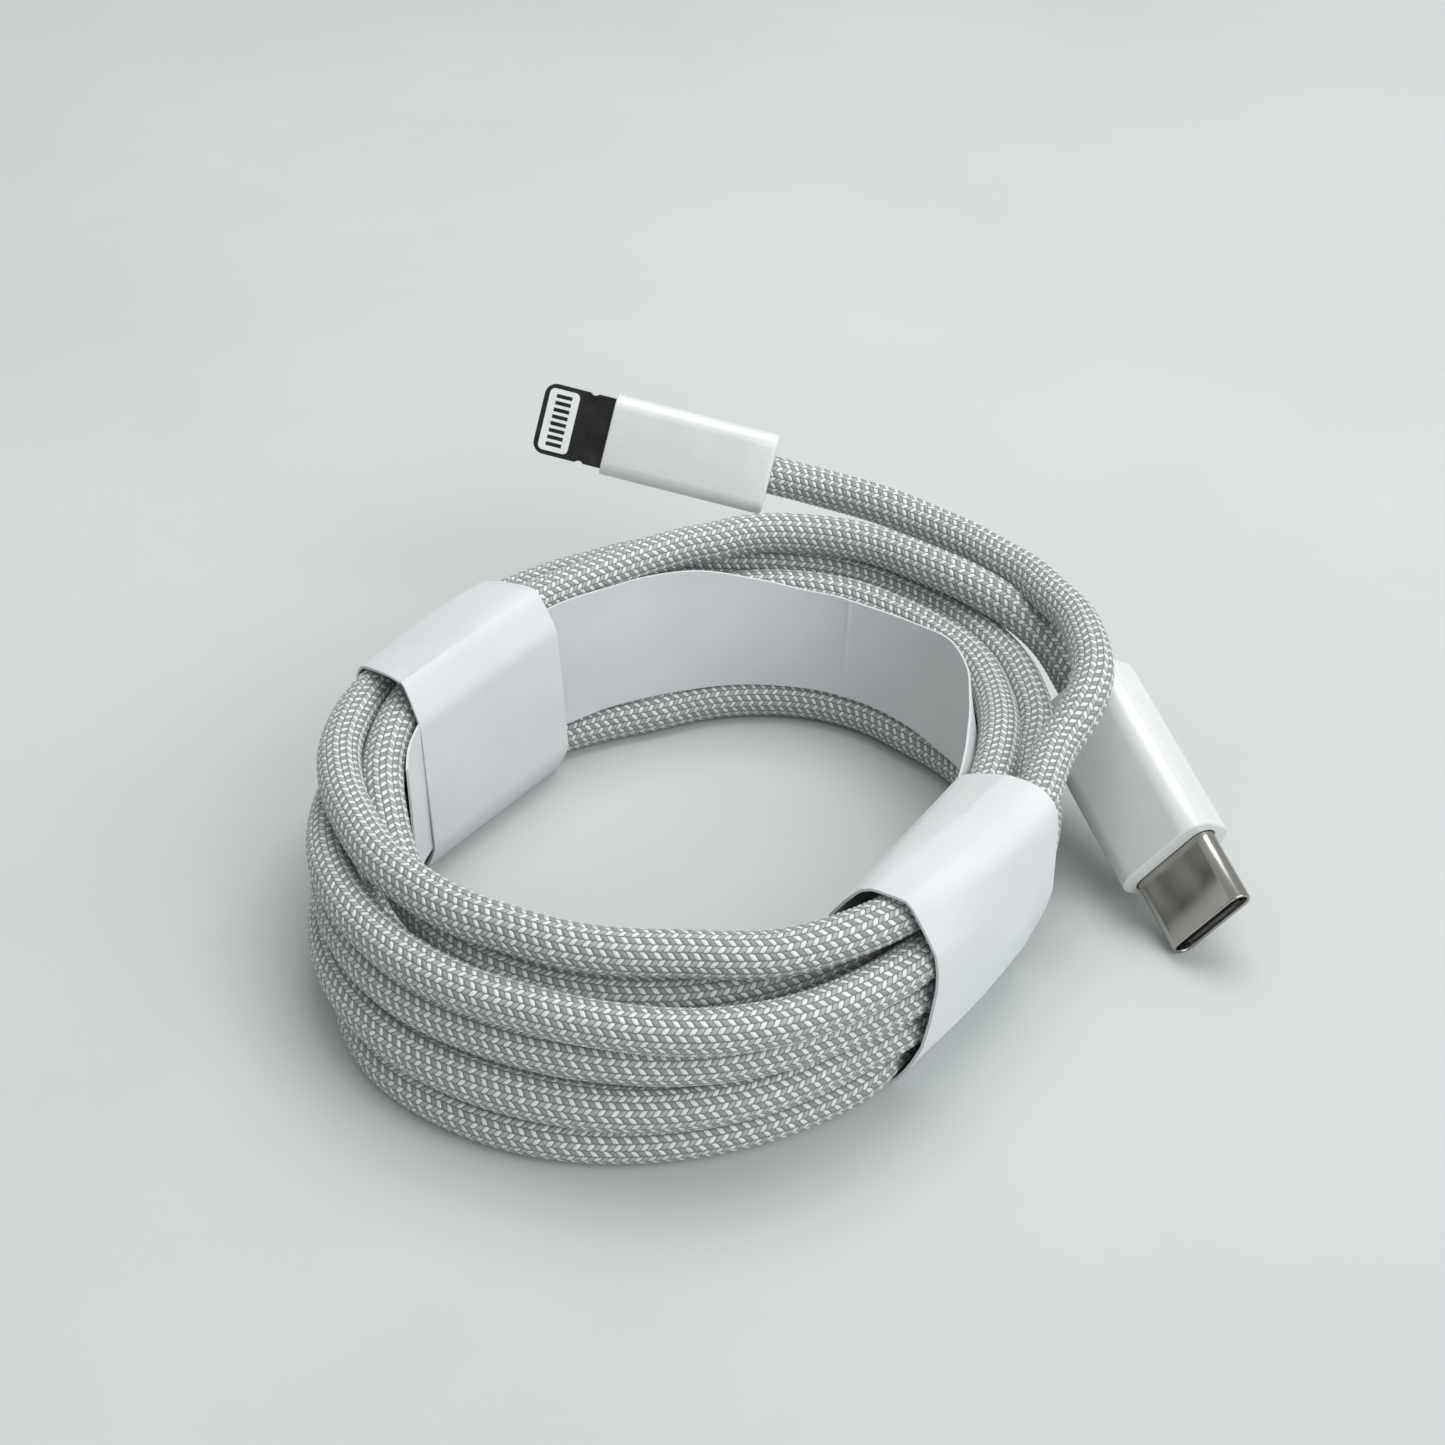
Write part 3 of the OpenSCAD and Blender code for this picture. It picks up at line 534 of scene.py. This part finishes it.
def sleeve(name, centre, outward, front, back, room, hold):
    """Paper wrapped round the bundle of turns. front and back are (place along, slant) of its two ends; room is
    left for the liner on the inner side, and hold is how tight the inner side is, from 0 to 1."""
    t = math.radians(SLEEVE_HEADING)
    along = np.array([math.cos(t), math.sin(t), 0])
    out = outward * np.array([-math.sin(t), math.cos(t), 0])
    up = np.array([0, 0, 1])
    middle = np.array([centre[0], centre[1], 0])
    near = (line - middle) @ np.stack([along, out, up], 1)
    near = near[(abs(near[:, 0]) < SLEEVE_HALF + 1) & (abs(near[:, 1]) < BUNDLE_HALF)]
    a = np.arange(HULL_DIRECTIONS) * 2 * math.pi / HULL_DIRECTIONS
    facing = np.stack([np.cos(a), np.sin(a)])
    stations = np.linspace(-SLEEVE_HALF, SLEEVE_HALF, SLEEVE_STATIONS)
    local = np.stack([(near[abs(near[:, 0] - s) < STATION_REACH][:, 1:] @ facing).max(0) for s in stations])
    gap = CABLE_R + PAPER_GAP + room * ease(0.5 - np.cos(a))
    hug = (OUTER_HUG * ease((np.cos(a) + 0.3) / 1.1))[:, None]
    tight = (hold * ease((0.2 - np.cos(a)) / 0.8))[:, None]
    share = (stations + SLEEVE_HALF) / (2 * SLEEVE_HALF)
    rings = []
    for thick, order in ((PAPER_THICK, 1), (0.0, -1)):
        low = PAPER_FLOOR + PAPER_THICK / 2 - thick
        skin = []
        for row, s in zip(local, share):
            taut = hull_ring(local[0] * (1 - s) + local[-1] * s + gap + thick)
            loose = hull_ring(local.max(0) + gap + thick) * (1 - tight) + taut * tight
            flat = hull_ring(row + gap + thick) * hug + loose * (1 - hug)
            place = (1 - s) * (front[0] + front[1] * flat[:, 0]) + s * (back[0] + back[1] * flat[:, 0])
            rise = np.maximum(flat[:, 1], low)
            skin.append(middle + place[:, None] * along + flat[:, :1] * out + rise[:, None] * up)
        rings += skin[::order]
    faces = ring_faces(len(rings), HULL_DIRECTIONS, True)[:, ::-1]
    return mesh_piece(name, in_row(np.concatenate(rings)), faces, PAPER_FOLD)


# The liner strip: degrees round the coil, then offset and height of its top edge and of its bottom edge.
LINER = [
    (-20, -6.7, 14.2, -5.4, 3.9), (-11, -6.5, 15.6, -4.7, 3.8), (5, -6.3, 16.8, -3.6, 3.7),
    (18, -5.4, 16.6, -2.8, 3.7), (30, -3.4, 15.9, -2.6, 3.7), (39, -1.9, 15.4, -2.4, 3.7),
    (49, -0.8, 14.2, -1.6, 3.7), (60, 0.2, 13.6, -0.8, 3.7), (68, 0.7, 13.6, -0.5, 3.7),
    (78, 0.5, 14.5, -0.6, 3.7), (90, 0.1, 15.8, -1.2, 3.7), (99, -0.6, 16.1, -1.8, 3.8),
    (107, -1.7, 16.4, -2.1, 3.8), (113, -2.3, 16.7, -2.5, 3.8), (120, -2.9, 16.9, -2.9, 3.8),
    (132, -4.0, 16.9, -4.1, 3.8), (145, -4.7, 16.6, -5.2, 3.6), (156, -5.0, 16.3, -5.6, 3.4),
    (164, -5.2, 16.0, -5.8, 3.3), (170, -5.4, 15.8, -5.8, 3.3), (176, -5.7, 15.6, -5.9, 3.4),
    (181, -6.1, 15.0, -6.2, 4.2)]
LINER_THICK = 0.2
LINER_LEVELS = 7
LINER_STEP = 1.5
LINER_FOLD = 40.0
CREASE_AT, CREASE_RISE, CREASE_WIDE = 62.5, 0.10, 0.35


def liner_strip(name):
    """The paper strip inside the turns, from inside the right sleeve, through the left one and out of its front."""
    table = np.array(LINER, float)
    evenly_set = np.arange(LINER[0][0], LINER[-1][0] + 0.1, LINER_STEP)
    where = np.unique(np.r_[evenly_set, CREASE_AT + np.arange(-2.0, 2.01, 0.25)])
    top_off, top_z, low_off, low_z = (monotone(table[:, 0], table[:, k], where) for k in (1, 2, 3, 4))
    base = turn_radius(where)
    ridge = CREASE_RISE * np.exp(-(((where - CREASE_AT) / CREASE_WIDE) ** 2))
    skins = []
    for inset in (LINER_THICK / 2, -LINER_THICK / 2):
        levels = []
        for s in np.linspace(0, 1, LINER_LEVELS):
            r = base + low_off * (1 - s) + top_off * s - inset - ridge
            z = low_z * (1 - s) + top_z * s
            levels.append(np.stack([r * np.cos(np.radians(where)), r * np.sin(np.radians(where)), z], 1))
        skins.append(np.stack(levels, 1))
    loop = np.concatenate([skins[0], skins[1][:, ::-1]], 1)
    around = loop.shape[1]
    faces = ring_faces(len(where), around, False).tolist()
    faces.append(list(range(around)))
    faces.append([(len(where) - 1) * around + k for k in reversed(range(around))])
    return mesh_piece(name, in_row(loop.reshape(-1, 3)), faces, LINER_FOLD)


LEFT = dict(centre=(-20.0, 15.2), outward=1.0, front=(-8.7, 0.3), back=(8.6, 0.1), room=0.6, hold=0.0)
RIGHT = dict(centre=(21.5, -14.2), outward=-1.0, front=(-9.0, 0.0), back=(9.2, 0.0), room=0.35, hold=0.8)
left_sleeve = finish_piece(sleeve("paper_sleeve_left", **LEFT), "paper")
finish_piece(sleeve("paper_sleeve_right", **RIGHT), "paper")
finish_piece(liner_strip("paper_liner"), "paper")
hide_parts("paper_carrier")

# ------------------------------------------------------------------ the plugs
BOOT_WALL, BACK_WALL, EXIT_R = 0.5, 0.8, 1.92
MOUTH_GAP, LIP_DEEP, LIP_BEVEL, EXIT_BEVEL = 0.06, 0.45, 0.1, 0.12
MOUTH_FLARE, EXIT_FLARE, LEAST_CORNER = 0.16, 0.3, 0.3


def boot(name, place, front, back, width, height, corner, fillet, mouth):
    """A moulded boot: hollow, with rounded ends, a mouth that fits the plug and a hole for the cable."""
    def shell(x, shrink):
        return (x, width - 2 * shrink, height - 2 * shrink, max(corner - shrink, LEAST_CORNER))

    bends = np.radians(np.linspace(0, 90, 5))
    slot = mouth[0] + 2 * MOUTH_GAP, mouth[1] + 2 * MOUTH_GAP, mouth[2]
    rings = [shell(front + LIP_DEEP, BOOT_WALL), (front + LIP_DEEP, *slot), (front + LIP_BEVEL, *slot)]
    rings += [(front, slot[0] + MOUTH_FLARE, slot[1] + MOUTH_FLARE, slot[2] + MOUTH_FLARE / 2)]
    rings += [shell(front + fillet[0] * (1 - math.sin(b)), fillet[0] * (1 - math.cos(b))) for b in bends[::-1]]
    rings += [shell(front + (back - front) * s, 0) for s in (0.2, 0.4, 0.6, 0.8)]
    rings += [shell(back - fillet[1] * (1 - math.sin(b)), fillet[1] * (1 - math.cos(b))) for b in bends]
    hole = 2 * EXIT_R
    rings += [(back, hole + EXIT_FLARE, hole + EXIT_FLARE, hole), (back - EXIT_BEVEL, hole, hole, hole)]
    rings += [(back - BACK_WALL, hole, hole, hole), shell(back - BACK_WALL, BOOT_WALL)]
    return lofted(name, place, rings)


TAB_BOOT = dict(front=6.7, back=22.4, width=7.7, height=4.6, corner=1.4, fillet=(0.18, 0.35),
                mouth=(6.7, 1.5, 0.3))
OVAL_BOOT = dict(front=6.65, back=24.85, width=9.8, height=6.0, corner=2.2, fillet=(0.2, 0.45),
                 mouth=(8.25, 2.4, 1.2))
tab_boot = finish_piece(boot("tab_plug_boot_skin", tab_place, **TAB_BOOT), "boot_white")
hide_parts("tab_plug_boot")
oval_boot = finish_piece(boot("oval_plug_boot_skin", oval_place, **OVAL_BOOT), "boot_white")
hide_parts("oval_plug_boot")

SHELL_WIDE, SHELL_HIGH, SHELL_WALL, SHELL_BACK = 8.25, 2.4, 0.3, 11.0
SHELL_ROUND = 9
rim = np.radians(np.linspace(-90, 90, 7))
shell_rings = [(SHELL_BACK, SHELL_WIDE - 2 * SHELL_WALL, SHELL_HIGH - 2 * SHELL_WALL, SHELL_ROUND)]
for b in rim:
    inset = SHELL_WALL / 2 * (1 - math.sin(b))
    lip = SHELL_WALL / 2 * (1 - math.cos(b))
    shell_rings.append((lip, SHELL_WIDE - 2 * inset, SHELL_HIGH - 2 * inset, SHELL_ROUND))
shell_rings.append((SHELL_BACK, SHELL_WIDE, SHELL_HIGH, SHELL_ROUND))
oval_shell = finish_piece(lofted("oval_plug_shell_skin", oval_place, shell_rings, 96), "plug_steel")
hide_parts("oval_plug_shell")

# What each CAD node that stays is made of, by the last words of its name.
MADE_OF = {
    # The tab's contacts get the near-black finish, a painted dark reflection.
    "tab_plug_frame": "tab_metal", "insert": "white_plastic", "tab_plug_contacts": "tab_contact_dark_reflection",
    "contacts": "contact_gold", "circuit_board": "board_green", "chips": "chip_black",
    "marker_chip": "chip_black", "tab_plug_shield": "spring_steel", "shield_can": "spring_steel",
    "front_collar": "plug_black", "inner_mould": "mould_white", "crimp_ring": "spring_steel",
    "wires": "wire_red", "insulator": "plug_black", "latch": "spring_steel",
    "ground_spring": "spring_steel", "mid_plate": "spring_steel"}
for name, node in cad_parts.items():
    ends = [key for key in MADE_OF if name.endswith(key)]
    if ends:
        node.data.materials.clear()
        node.data.materials.append(finishes[MADE_OF[max(ends, key=len)]])


# ------------------------------------------------------------------ floor and light
FLOOR_HALF = 3.0
corners = [(x * FLOOR_HALF, y * FLOOR_HALF, 0) for x, y in ((-1, -1), (1, -1), (1, 1), (-1, 1))]
floor = mesh_piece("floor", corners, [[0, 1, 2, 3]])
floor.data.materials.append(finishes["floor"])


def area_light(name, place, size, power, colour):
    """A round soft light in metres and watts, turned to the middle of the floor."""
    data = bpy.data.lights.new(name, "AREA")
    data.shape = "DISK"
    data.size = size
    data.energy = power
    data.color = colour
    lamp = bpy.data.objects.new(name, data)
    toward = -np.array(place, float)
    toward /= np.linalg.norm(toward)
    lamp.location = place
    lamp.rotation_euler = (math.acos(-toward[2]), 0, math.atan2(toward[1], toward[0]) - math.pi / 2)
    scene.collection.objects.link(lamp)


area_light("key_light", (0.06, 0.12, 0.38), 0.3, 0.95, (1.0, 0.995, 0.98))
area_light("fill_light", (0.7, -0.75, 0.6), 1.2, 9.5, (0.95, 0.98, 1.0))

# The studio's glow: dimmer near the ground and in front, brighter above and behind.
GLOW_LEAN = 0.55
GLOW_RANGE = (-0.15, 0.7, 0.34, 0.54)
GLOW_COLOUR = (0.94, 0.98, 1.0, 1)

world = bpy.data.worlds.new("studio")
scene.world = world
world.use_nodes = True
tree = world.node_tree
direction = tree.nodes.new("ShaderNodeTexCoord")
parts = tree.nodes.new("ShaderNodeSeparateXYZ")
tree.links.new(direction.outputs["Generated"], parts.inputs[0])
blend = tree.nodes.new("ShaderNodeMath")
blend.operation = "MULTIPLY_ADD"
tree.links.new(parts.outputs[1], blend.inputs[0])
blend.inputs[1].default_value = GLOW_LEAN
tree.links.new(parts.outputs[2], blend.inputs[2])
sky = tree.nodes.new("ShaderNodeMapRange")
sky.interpolation_type = "SMOOTHSTEP"
tree.links.new(blend.outputs[0], sky.inputs["Value"])
for key, value in zip(RANGE_SOCKETS, GLOW_RANGE):
    sky.inputs[key].default_value = value
tree.links.new(sky.outputs[0], tree.nodes["Background"].inputs["Strength"])
tree.nodes["Background"].inputs["Color"].default_value = GLOW_COLOUR
